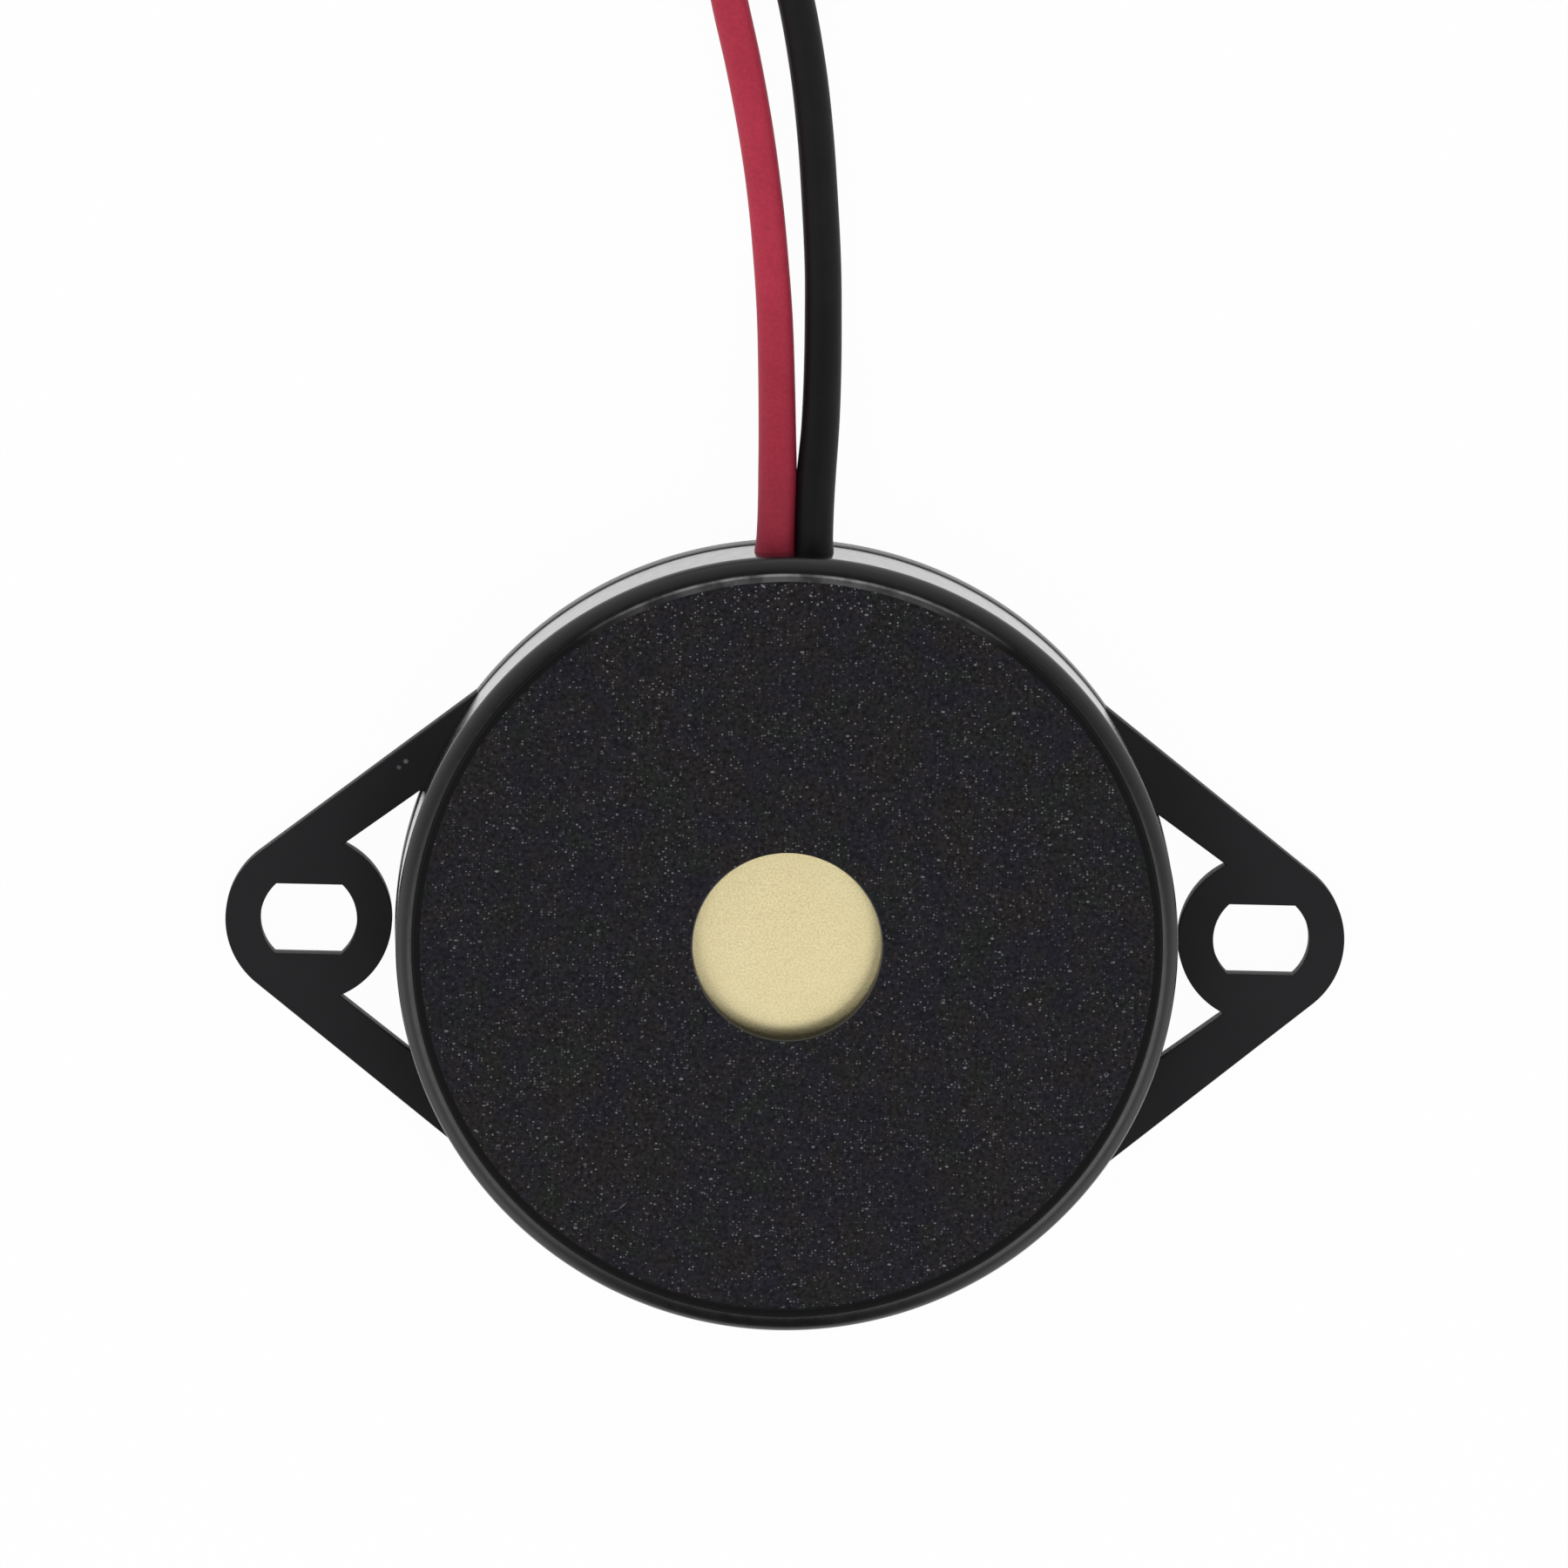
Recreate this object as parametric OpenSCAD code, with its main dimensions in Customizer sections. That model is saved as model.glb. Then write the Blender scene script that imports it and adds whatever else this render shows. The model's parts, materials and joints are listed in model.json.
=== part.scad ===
// Piezo buzzer in a round moulded case with two mounting ears and two leads.
// Millimetres. The back face lies on z = 0, the sound hole faces +Z, the ears lie
// along X and the leads leave towards +Y.

/* [Case] */
// Diameter of the base ring, the widest round part of the case
case_d = 30; // [29.6:0.1:36]
// Height from the back face to the textured front face
case_h = 5.5; // [5.2:0.1:8]
// Thickness of the base ring and of the ears
base_t = 1; // [0.9:0.1:1.4]
// Step in from the base ring to the side wall
ring_step = 0.07; // [0.05:0.01:0.2]
// How far the side wall leans in from its foot to the rounded edge
wall_draft = 0.11; // [0:0.01:0.2]
// Radius of the rounded front edge
edge_r = 0.45; // [0.2:0.05:0.5]
// Radial thickness of the side wall at its foot
wall_t = 1.18; // [1.1:0.02:1.5]
// Thickness of the front wall over the sound chamber
front_t = 0.8; // [0.6:0.1:1.2]
// Width of the smooth rim round the textured face
rim_w = 0.32; // [0.1:0.02:0.6]
// Height of the textured face above the smooth rim
face_raise = 0.05; // [0.02:0.01:0.1]

/* [Sound chamber] */
// Diameter of the sound hole
hole_d = 7.2; // [3:0.1:12]
// Depth of the chamber between the front wall and the disc
chamber_h = 0.4; // [0.2:0.1:0.6]
// Width of the ledge that the edge of the disc rests on
ledge_w = 0.9; // [0.6:0.1:1.4]

/* [Sounding disc] */
// Radial gap between the disc and the side wall, filled with adhesive
disc_gap = 0.25; // [0.15:0.05:0.4]
// Thickness of the brass disc
disc_t = 0.3; // [0.2:0.05:0.3]
// Diameter of the ceramic on the disc
ceramic_d = 20; // [16:0.1:20]
// Thickness of the ceramic
ceramic_t = 0.22; // [0.15:0.01:0.25]
// Width of the adhesive bead on the back of the disc
bead_w = 0.45; // [0.3:0.05:0.6]
// Thickness of that bead
bead_t = 0.1; // [0.05:0.01:0.12]

/* [Back cover] */
// Thickness of the cover disc
cover_t = 0.8; // [0.6:0.05:1]
// How far the cover sits in from the back face
cover_inset = 0.1; // [0:0.05:0.2]
// Width of the shoulder that the cover seats against
shoulder_w = 0.3; // [0.2:0.05:0.45]
// Clearance all round the cover and its locating rib
cover_fit = 0.05; // [0.02:0.01:0.1]
// Thickness of the locating rib
rib_t = 0.7; // [0.5:0.1:1]
// Height of the locating rib
rib_h = 0.8; // [0.4:0.1:1]

/* [Ears] */
// Distance from the edge of the base ring to the centre of an ear hole
ear_reach = 3.3; // [3.25:0.05:7]
// Diameter of the round end of an ear
eye_d = 6.4; // [5.2:0.05:6.4]
// Diameter of the round sides of an ear hole
ear_hole_d = 3.7; // [3:0.1:4.2]
// Distance between the two flats of an ear hole
ear_hole_flat = 2.7; // [2:0.1:2.9]
// Width of an arm where it leaves the round end
arm_w = 1.7; // [1.4:0.1:2.2]
// Where an arm's outer edge meets the base ring, in degrees from the line through both ears
arm_foot = 37.4; // [30:0.2:44]
// How much the inner edge of an arm spreads from the outer edge, in degrees
arm_spread = 1.5; // [0:0.5:4]

/* [Leads] */
// Diameter of a lead over its insulation
lead_d = 1.4; // [1.1:0.05:1.4]
// Diameter of the bared strands
strand_d = 0.6; // [0.4:0.05:0.6]
// Clearance round the leads in their slot
lead_fit = 0.03; // [0.02:0.01:0.08]
// Depth of the glue that holds the leads, inwards from the side wall
glue_l = 0.85; // [0.5:0.05:1]
// How far the glue reaches beside and below the leads
glue_w = 0.5; // [0.3:0.1:0.8]
// Radius of the solder joint on the ceramic
solder_r = 1; // [0.8:0.05:1.1]
// Radius of the solder joint on the brass
brass_solder_r = 0.9; // [0.7:0.05:0.95]
// Height of both solder joints
solder_h = 0.75; // [0.65:0.05:0.8]

/* [Hidden] */

// extra length of a cut past the surface that it opens
past = 0.5;
// a round face's segments, which only the preview needs
round_fn = 160;
// how far an arm's outer edge lies inside the tangent of the eye, for a clean corner
arm_tuck = 0.01;

// case
case_r = case_d / 2;
wall_r = case_r - ring_step;
top_r = wall_r - wall_draft;
rim_z = case_h - face_raise;
edge_z = rim_z - edge_r;
face_r = top_r - edge_r - rim_w;
bore_r = wall_r - wall_t;
ledge_z = case_h - front_t - chamber_h;
chamber_r = bore_r - ledge_w;

// ears: the hole pitch, and the direction of an arm's outer edge, which runs from its foot on
// the base ring to the tangent of the eye
ear_pitch = case_d + 2 * ear_reach;
eye_r = eye_d / 2;
foot_x = ear_pitch / 2 - case_r * cos(arm_foot);
foot_y = case_r * sin(arm_foot);
arm_angle = atan2(foot_y, foot_x) - asin(eye_r / norm([foot_x, foot_y]));

// disc, ceramic and adhesive
disc_r = bore_r - disc_gap;
disc_back = ledge_z - disc_t;
ceramic_back = disc_back - ceramic_t;

// cover
seat_r = bore_r + shoulder_w;
seat_z = cover_inset + cover_t;

// leads: the points that each one follows, from its stripped end inside the case
lead_z = 3.15;
lead_r = lead_d / 2;
red_x = -0.78;
black_x = 0.66;
red_route = [
    [red_x, 10.7, lead_z], [red_x, 12.8, lead_z], [red_x, 15, lead_z], [-0.8, 17.6, 3.1],
    [-0.82, 19.6, 2.6], [-0.88, 21.6, 1.6], [-0.98, 23.6, 0.85], [-1.16, 25.6, 0.7],
    [-1.44, 28, 0.7], [-1.86, 30.6, 0.7], [-2.4, 33.2, 0.7], [-3.08, 36, 0.7],
    [-3.6, 38.8, 0.7], [-3.95, 41.6, 0.7], [-4.08, 44.2, 0.7], [-4.1, 46.5, 0.7],
];
black_route = [
    [black_x, 12.5, lead_z], [black_x, 13.6, lead_z], [black_x, 15, lead_z], [0.73, 17.6, 3.1],
    [0.83, 19.6, 2.6], [0.88, 21.6, 1.6], [0.87, 23.6, 0.85], [0.81, 25.6, 0.7],
    [0.64, 28, 0.7], [0.4, 30.6, 0.7], [0.04, 33.2, 0.7], [-0.54, 36, 0.7],
    [-1.4, 38.8, 0.7], [-2.1, 41.6, 0.7], [-2.54, 44.2, 0.7], [-2.65, 46.5, 0.7],
];

// bared strands inside the case, from the end of the insulation to the solder joint
strand_r = strand_d / 2;
solder_sink = 0.01;
red_joint_in = 1.9;
black_joint_out = 1.55;
red_joint = [-0.6, ceramic_d / 2 - red_joint_in];
black_joint = [black_x, ceramic_d / 2 + black_joint_out];
red_strand_z = ceramic_back - strand_r - solder_sink;
black_strand_z = disc_back - strand_r - solder_sink;
red_strand_route = [
    [red_x, 10.7, lead_z], [red_x, 10.2, lead_z],
    [-0.7, red_joint[1] + 1.3, (lead_z + red_strand_z) / 2],
    [red_joint[0], red_joint[1] + 0.5, red_strand_z],
    [red_joint[0], red_joint[1] - 0.5, red_strand_z],
];
black_strand_route = [
    [black_x, 12.5, lead_z], [black_x, 12.25, lead_z],
    [black_x, black_joint[1] + 0.45, (lead_z + black_strand_z) / 2],
    [black_x, black_joint[1] + 0.15, black_strand_z],
    [black_x, black_joint[1] - 0.45, black_strand_z],
];

// coils: each lead is wound twice round, the red inside the black
coil_centre = [-11.1, 46.5];
coil_turns_high = 2;
coil_h = coil_turns_high * lead_d;
red_coil_r = 7;
black_coil_r = 8.45;
tinned_l = 5;
tinned_z = lead_d + strand_r;
red_end_angle = 150;
black_end_angle = 65;
tinned_steps = 4;

// triangles of a swept tube: each ring has this many sides
tube_sides = 8;

// one point of a smooth curve through p1 and p2, with p0 before them and p3 after
function curve_point(p0, p1, p2, p3, t) =
    0.5 * (2 * p1 + (p2 - p0) * t + (2 * p0 - 5 * p1 + 4 * p2 - p3) * t * t
    + (3 * p1 - p0 - 3 * p2 + p3) * t * t * t);

// a smooth curve through a list of points, with a number of steps between each two
function smooth(points, steps) = let (last = len(points) - 1) [
    for (i = [0 : last - 1], s = [0 : steps - 1])
        curve_point(points[max(i - 1, 0)], points[i], points[i + 1],
            points[min(i + 2, last)], s / steps),
    points[last],
];

// direction of a path at its point i
function heading(path, i) =
    let (d = path[min(i + 1, len(path) - 1)] - path[max(i - 1, 0)]) d / norm(d);

// one ring of a tube, square to the path, with one flat kept level
function ring(centre, along, r) =
    let (side = cross(along, [0, 0, 1]) / norm(cross(along, [0, 0, 1])), up = cross(side, along)) [
        for (k = [0 : tube_sides - 1])
            let (a = 360 * (k + 0.5) / tube_sides)
                centre + r * (cos(a) * side + sin(a) * up)
    ];

// points of an arc that lies flat, from one angle on, over a length
function flat_arc(centre, r, from, length, z, steps) = [
    for (i = [0 : steps])
        let (a = from + i / steps * length / r * 180 / PI)
            [centre[0] + r * cos(a), centre[1] + r * sin(a), z]
];

// a tube of radius r along a path
module tube(path, r) {
    n = len(path);
    m = tube_sides;
    polyhedron(
        points = [for (i = [0 : n - 1]) each ring(path[i], heading(path, i), r)],
        faces = [
            [for (k = [m - 1 : -1 : 0]) k],
            [for (k = [0 : m - 1]) (n - 1) * m + k],
            for (i = [0 : n - 2], k = [0 : m - 1])
                each [
                    [i * m + k, i * m + (k + 1) % m, (i + 1) * m + k],
                    [i * m + (k + 1) % m, (i + 1) * m + (k + 1) % m, (i + 1) * m + k],
                ],
        ]
    );
}

// a ring of rectangular section
module band(r_in, r_out, z0, z1) {
    rotate_extrude($fn = round_fn)
        translate([r_in, z0])
            square([r_out - r_in, z1 - z0]);
}

// the outer form of the case: base ring, leaning wall, rounded edge, rim and raised face
module case_form() {
    rotate_extrude($fn = round_fn) {
        polygon([
            [0, 0], [case_r, 0], [case_r, base_t], [wall_r, base_t], [top_r, edge_z],
            [top_r - edge_r, edge_z], [top_r - edge_r, rim_z], [0, rim_z],
        ]);
        translate([top_r - edge_r, edge_z])
            intersection() {
                circle(r = edge_r, $fn = 64);
                square(edge_r);
            }
        square([face_r, case_h]);
    }
}

// one arm of an ear, with the centre of the eye at 0 and the case towards +X
module arm() {
    outer_r = eye_r - arm_tuck;
    inner_r = eye_r - arm_w;
    reach = ear_pitch / 2 * cos(arm_angle);
    along = [cos(arm_angle), sin(arm_angle)];
    across = [-sin(arm_angle), cos(arm_angle)];
    inner_along = [cos(arm_angle - arm_spread), sin(arm_angle - arm_spread)];
    polygon([
        [0, 0], outer_r * across, outer_r * across + reach * along,
        inner_r * across + reach * inner_along, inner_r * across,
    ]);
}

// the outline of the ear on the left, with its two arms and without its hole
module ear_outline() {
    circle(d = eye_d, $fn = 96);
    arm();
    mirror([0, 1]) arm();
}

// the ear hole: a round hole with two flats that lie along X
module ear_hole_outline() {
    intersection() {
        circle(d = ear_hole_d, $fn = 96);
        square([ear_hole_d + past, ear_hole_flat], center = true);
    }
}

// both ears, cut off inside the side wall
module ears() {
    for (turn = [0, 180])
        rotate(turn)
            linear_extrude(base_t)
                difference() {
                    translate([-ear_pitch / 2, 0]) ear_outline();
                    circle(r = seat_r, $fn = round_fn);
                    translate([0, -case_r]) square(2 * case_r);
                }
}

// the slot through the side wall that both leads leave by
module lead_slot() {
    slot_r = lead_r + lead_fit;
    slot_l = wall_t + 2 * past;
    translate([0, bore_r - past, lead_z]) {
        for (x = [red_x, black_x])
            translate([x, 0, 0])
                rotate([-90, 0, 0])
                    cylinder(r = slot_r, h = slot_l, $fn = 64);
        translate([red_x, 0, -slot_r])
            cube([black_x - red_x, slot_l, 2 * slot_r]);
    }
}

// case, base ring and ears, moulded in one piece
module housing() {
    color([0.1, 0.1, 0.11])
        difference() {
            union() {
                case_form();
                ears();
            }
            translate([0, 0, -past]) cylinder(r = seat_r, h = seat_z + past, $fn = round_fn);
            cylinder(r = bore_r, h = ledge_z, $fn = round_fn);
            cylinder(r = chamber_r, h = ledge_z + chamber_h, $fn = round_fn);
            cylinder(d = hole_d, h = case_h + past, $fn = 96);
            lead_slot();
            for (side = [-1, 1])
                translate([side * ear_pitch / 2, 0, -past])
                    linear_extrude(base_t + 2 * past)
                        ear_hole_outline();
        }
}

// disc that closes the back, with a rib that centres it in the bore
module back_cover() {
    rib_r = bore_r - cover_fit;
    color([0.12, 0.12, 0.13]) {
        translate([0, 0, cover_inset])
            cylinder(r = seat_r - cover_fit, h = cover_t, $fn = round_fn);
        band(rib_r - rib_t, rib_r, seat_z - cover_t / 2, seat_z + rib_h);
    }
}

// brass disc, held by its edge
module brass_disc() {
    color([0.85, 0.78, 0.52])
        translate([0, 0, disc_back])
            cylinder(r = disc_r, h = disc_t, $fn = round_fn);
}

// silvered ceramic on the back of the disc
module piezo_ceramic() {
    color([0.82, 0.82, 0.8])
        translate([0, 0, ceramic_back])
            cylinder(d = ceramic_d, h = ceramic_t, $fn = round_fn);
}

// bead that fills the gap round the disc and laps onto its back
module disc_adhesive() {
    color([0.9, 0.9, 0.88])
        rotate_extrude($fn = round_fn)
            polygon([
                [disc_r, ledge_z], [bore_r, ledge_z], [bore_r, disc_back - bead_t],
                [disc_r, disc_back - bead_t], [disc_r - bead_w, disc_back - bead_t / 2],
                [disc_r - bead_w, disc_back], [disc_r, disc_back],
            ]);
}

// glue against the inside of the wall, which takes the pull on the leads
module lead_glue() {
    color([0.85, 0.83, 0.75])
        difference() {
            intersection() {
                band(bore_r - glue_l, bore_r, lead_z - lead_r - glue_w, lead_z + lead_r * 0.8);
                translate([red_x - lead_r - glue_w, 0, 0])
                    cube([black_x - red_x + 2 * (lead_r + glue_w), case_r, case_h]);
            }
            tube(smooth(red_route, 2), lead_r);
            tube(smooth(black_route, 2), lead_r);
        }
}

// a rounded solder joint that hangs from a surface at height z, round a strand
module solder(at, z, r, route) {
    ball_r = (r * r + solder_h * solder_h) / (2 * solder_h);
    color([0.78, 0.78, 0.8])
        difference() {
            intersection() {
                translate([at[0], at[1], z + ball_r - solder_h]) sphere(r = ball_r, $fn = 64);
                translate([at[0] - 2 * r, at[1] - 2 * r, z - 2 * r]) cube([4 * r, 4 * r, 2 * r]);
            }
            tube(smooth(route, 1), strand_r);
        }
}

module red_solder() {
    solder(red_joint, ceramic_back, solder_r, red_strand_route);
}

module black_solder() {
    solder(black_joint, disc_back, brass_solder_r, black_strand_route);
}

module red_inner_strand() {
    color([0.8, 0.78, 0.75]) tube(smooth(red_strand_route, 1), strand_r);
}

module black_inner_strand() {
    color([0.8, 0.78, 0.75]) tube(smooth(black_strand_route, 1), strand_r);
}

// insulated leads, from the stripped end inside the case to the start of the coil
module red_lead() {
    color([0.66, 0.2, 0.28]) tube(smooth(red_route, 2), lead_r);
}

module black_lead() {
    color([0.12, 0.12, 0.13]) tube(smooth(black_route, 2), lead_r);
}

// the outer form of a coil of two turns, one on the other, with room for what enters it
module coil(r) {
    difference() {
        translate([coil_centre[0], coil_centre[1], 0])
            band(r - lead_r, r + lead_r, 0, coil_h);
        red_lead();
        black_lead();
        red_tinned_end();
        black_tinned_end();
    }
}

module red_coil() {
    color([0.66, 0.2, 0.28]) coil(red_coil_r);
}

module black_coil() {
    color([0.12, 0.12, 0.13]) coil(black_coil_r);
}

// bared and tinned ends, lying on the first turn of each coil
module red_tinned_end() {
    color([0.78, 0.78, 0.8])
        tube(flat_arc(coil_centre, red_coil_r, red_end_angle, tinned_l, tinned_z, tinned_steps),
            strand_r);
}

module black_tinned_end() {
    color([0.78, 0.78, 0.8])
        tube(flat_arc(coil_centre, black_coil_r, black_end_angle, tinned_l, tinned_z, tinned_steps),
            strand_r);
}

housing();
back_cover();
brass_disc();
piezo_ceramic();
disc_adhesive();
lead_glue();
red_solder();
black_solder();
red_inner_strand();
black_inner_strand();
red_lead();
black_lead();
red_coil();
black_coil();
red_tinned_end();
black_tinned_end();
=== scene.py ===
"""The looks of a piezo buzzer: a moulded case with ears, the parts inside it and its two leads.

Shapes are worked out in millimetres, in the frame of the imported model, and put into meshes in metres.
"""

import json
import math

import bmesh
import bpy
import numpy as np
from mathutils import Matrix, Vector
from mathutils.geometry import delaunay_2d_cdt


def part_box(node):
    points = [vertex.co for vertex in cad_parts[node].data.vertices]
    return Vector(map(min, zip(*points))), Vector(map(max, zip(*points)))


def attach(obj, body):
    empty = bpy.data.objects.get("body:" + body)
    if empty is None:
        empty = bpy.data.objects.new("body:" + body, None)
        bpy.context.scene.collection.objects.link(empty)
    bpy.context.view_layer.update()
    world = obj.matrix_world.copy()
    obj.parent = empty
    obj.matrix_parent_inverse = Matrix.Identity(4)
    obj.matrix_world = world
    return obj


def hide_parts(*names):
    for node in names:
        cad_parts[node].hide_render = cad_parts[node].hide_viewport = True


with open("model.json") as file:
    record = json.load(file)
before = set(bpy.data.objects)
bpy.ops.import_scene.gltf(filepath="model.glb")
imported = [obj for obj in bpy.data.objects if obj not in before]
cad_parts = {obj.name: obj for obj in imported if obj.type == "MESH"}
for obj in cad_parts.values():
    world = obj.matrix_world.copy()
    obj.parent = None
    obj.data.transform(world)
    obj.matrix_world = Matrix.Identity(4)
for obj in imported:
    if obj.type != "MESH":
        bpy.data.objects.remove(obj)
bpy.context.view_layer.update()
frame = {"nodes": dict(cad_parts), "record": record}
mounts = {m["name"]: m for m in frame["record"]["mounts"]}

MM = 0.001


def high_corner(node):
    """The corner of a node's box with the largest coordinates, in millimetres."""
    _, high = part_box(node)
    return np.array(high) / MM


# ---------------------------------------------------------------- sizes, in millimetres

# Read from the frame; the cover's seat is a little wider than the cover.
port = mounts["sound_port"]["dims"]
ears = mounts["ear_holes"]["dims"]
housing_high = high_corner("housing")
CASE_R, CASE_H = housing_high[1:]
DISC_Z = high_corner("brass_disc")[2]
HOLE_R, FRONT_T = port["r_mm"], port["length_mm"]
PITCH = ears["spacing_x_mm"]
EAR_FLAT = ears["hole_r_mm"]
EAR_HOLE_R = ears["slot_length_mm"] / 2
EYE_R = housing_high[0] - PITCH / 2
LEFT_EYE = np.array([-PITCH / 2, 0.0])
BORE_R = high_corner("disc_adhesive")[0]
COVER_FIT = 0.05
SEAT_R = high_corner("back_cover")[0] + COVER_FIT

# The case as it is seen, from its base up.
BASE_T = 1.0
SEAT_Z = 0.9
LEDGE_W = 0.9
CHAMBER_R = BORE_R - LEDGE_W
RING_STEP = 0.07
WALL_R = CASE_R - RING_STEP
WALL_DRAFT = 0.01
EDGE_WIDE, EDGE_DEEP = 0.67, 0.52
# In degrees round the edge: where its gloss ends, and where the first ridge cuts it off.
EDGE_GLOSSY, EDGE_TOP = 81, 84
FACE_RAISE = 0.05
RIM_W = 0.28
RIM_Z = CASE_H - FACE_RAISE
RIM_R = WALL_R - WALL_DRAFT - EDGE_WIDE
FACE_R = RIM_R - RIM_W
HOLE_EDGE = 0.07
SOFT_EDGE = 0.035
RING_EDGE, RING_DEEP = 0.055, 0.35

# An arm's outer edge starts at its foot on the ring, at this angle from the X axis, and touches the eye.
ARM_FOOT = math.radians(37.4)
# Where the foot lies from the eye, and the direction of the edge.
FOOT = np.array([PITCH / 2 - CASE_R * math.cos(ARM_FOOT), CASE_R * math.sin(ARM_FOOT)])
ARM_ANGLE = math.atan2(FOOT[1], FOOT[0]) - math.asin(EYE_R / np.linalg.norm(FOOT))
# Of each arm, by side and level: its width at the eye, and how its inner and outer edges turn, in degrees.
ARMS = {("left", "upper"): (1.59, -2.0, -0.3), ("left", "lower"): (1.62, -1.0, 0.0),
        ("right", "upper"): (1.66, -3.3, -0.45), ("right", "lower"): (1.70, -1.5, 1.4)}

LEAD_D = 1.4
LEAD_R = LEAD_D / 2
LEAD_Z = 3.15
LEAD_FIT = 0.03
RED_X, BLACK_X = -0.78, 0.66
STRAND_R = 0.3

ROUND = 480
ARC_STEP = 2 * math.pi / ROUND


# ---------------------------------------------------------------- camera

CAMERA_FAR = 500.0
# Width in view at the target.
SEEN_WIDTH = 60.247013
CAMERA_TARGET = np.array([-0.17, 5.5, 0.0])
# How far it stands to the side and towards the leads, and how far it turns about its line of sight.
CAMERA_SIDE = math.radians(-1.09)
CAMERA_LEAN = math.radians(7.86)
CAMERA_ROLL = math.radians(1.42)


def camera_axes():
    """Unit vectors to the camera's right, upwards and back from its target."""
    back = np.array([
        math.sin(CAMERA_SIDE),
        math.sin(CAMERA_LEAN) * math.cos(CAMERA_SIDE),
        math.cos(CAMERA_LEAN) * math.cos(CAMERA_SIDE),
    ])
    right = np.cross([0.0, 1.0, 0.0], back)
    right /= np.linalg.norm(right)
    up = np.cross(back, right)
    c, s = math.cos(CAMERA_ROLL), math.sin(CAMERA_ROLL)
    return c * right + s * up, c * up - s * right, back


def make_camera():
    """A long lens over the face, leaning a little towards the leads and turned a little."""
    data = bpy.data.cameras.new("camera")
    data.sensor_width = 36.0
    data.lens = CAMERA_FAR / SEEN_WIDTH * data.sensor_width
    data.clip_start, data.clip_end = 0.01, 10.0
    camera = bpy.data.objects.new("camera", data)
    right, up, back = camera_axes()
    turn = np.eye(4)
    turn[:3] = np.column_stack([right, up, back, (CAMERA_TARGET + CAMERA_FAR * back) * MM])
    camera.matrix_world = Matrix(turn.tolist())
    bpy.context.scene.collection.objects.link(camera)
    bpy.context.scene.camera = camera


make_camera()


# ---------------------------------------------------------------- meshes from arrays

# Edges turn sharp past this angle, in degrees.
SMOOTH_ANGLE = 35
# The least Z of a face's normal for the face to be level.
LEVEL_NORMAL = 0.99999


def put_mesh(name, points, faces, materials, zones=None, smooth_angle=SMOOTH_ANGLE):
    """A new object from points in millimetres and a list of faces; zones gives each face its material."""
    mesh = bpy.data.meshes.new(name)
    mesh.from_pydata((np.asarray(points, float) * MM).tolist(), [], [list(map(int, f)) for f in faces])
    for material in materials:
        mesh.materials.append(material)
    if zones is not None:
        mesh.polygons.foreach_set("material_index", np.asarray(zones, np.int32))
    mesh.polygons.foreach_set("use_smooth", np.ones(len(mesh.polygons), bool))
    mesh.update()
    mark_sharp(mesh, smooth_angle)
    piece = bpy.data.objects.new(name, mesh)
    bpy.context.scene.collection.objects.link(piece)
    return piece


def mark_sharp(mesh, smooth_angle):
    """Marks as sharp each edge past the angle, and each edge where a level face meets any other."""
    mesh.set_sharp_from_angle(angle=math.radians(smooth_angle))
    faces, edges, loops = len(mesh.polygons), len(mesh.edges), len(mesh.loops)
    normal = np.empty(faces * 3)
    mesh.polygons.foreach_get("normal", normal)
    level = np.abs(normal.reshape(-1, 3)[:, 2]) > LEVEL_NORMAL
    size = np.empty(faces, np.int32)
    mesh.polygons.foreach_get("loop_total", size)
    edge_of = np.empty(loops, np.int32)
    mesh.loops.foreach_get("edge_index", edge_of)
    level_sides = np.bincount(edge_of, weights=np.repeat(level, size), minlength=edges)
    sharp = np.empty(edges, bool)
    mesh.edges.foreach_get("use_edge_sharp", sharp)
    mesh.edges.foreach_set("use_edge_sharp", sharp | (level_sides == 1))


def grid_faces(rows, columns):
    """Quads of a grid whose point (i, j) is at index i * columns + j; each row closes on itself."""
    i, j = np.meshgrid(np.arange(rows - 1), np.arange(columns), indexing="ij")
    here, below, after = i * columns, (i + 1) * columns, (j + 1) % columns
    quads = [here + j, here + after, below + after, below + j]
    return np.stack(quads, -1).reshape(-1, 4)


def swept_frames(path):
    """Sideways and upward unit vectors at each point of a path that is never upright."""
    along = np.gradient(path, axis=0)
    along /= np.linalg.norm(along, axis=1)[:, None]
    side = np.cross(along, [0.0, 0.0, 1.0])
    side /= np.linalg.norm(side, axis=1)[:, None]
    return side, np.cross(side, along)


def lengths_along(path):
    """Distance of each point of a path from its start."""
    steps = np.linalg.norm(np.diff(path, axis=0), axis=1)
    return np.concatenate([[0.0], np.cumsum(steps)])


def curve_through(points, spacing):
    """A Catmull-Rom curve: between points, the cubic whose ends lean along their neighbours."""
    p = np.asarray(points, float)
    p0, p1 = np.vstack([p[:1], p[:-2]]), p[:-1]
    p2, p3 = p[1:], np.vstack([p[2:], p[-1:]])
    out = []
    for a, b, c, d in zip(p0, p1, p2, p3):
        n = max(2, int(round(np.linalg.norm(c - b) / spacing)))
        t = (np.arange(n) / n)[:, None]
        out.append(0.5 * (2 * b + (c - a) * t + (2 * a - 5 * b + 4 * c - d) * t ** 2
                          + (3 * b - a - 3 * c + d) * t ** 3))
    return np.vstack(out + [p[-1:]])


# ---------------------------------------------------------------- materials

# Detail and roughness of a noise.
GRAINY, PATCHY = (2.0, 0.6), (3.0, 0.6)
# Where most of a noise lies.
MOST = (0.3, 0.7)
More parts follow.
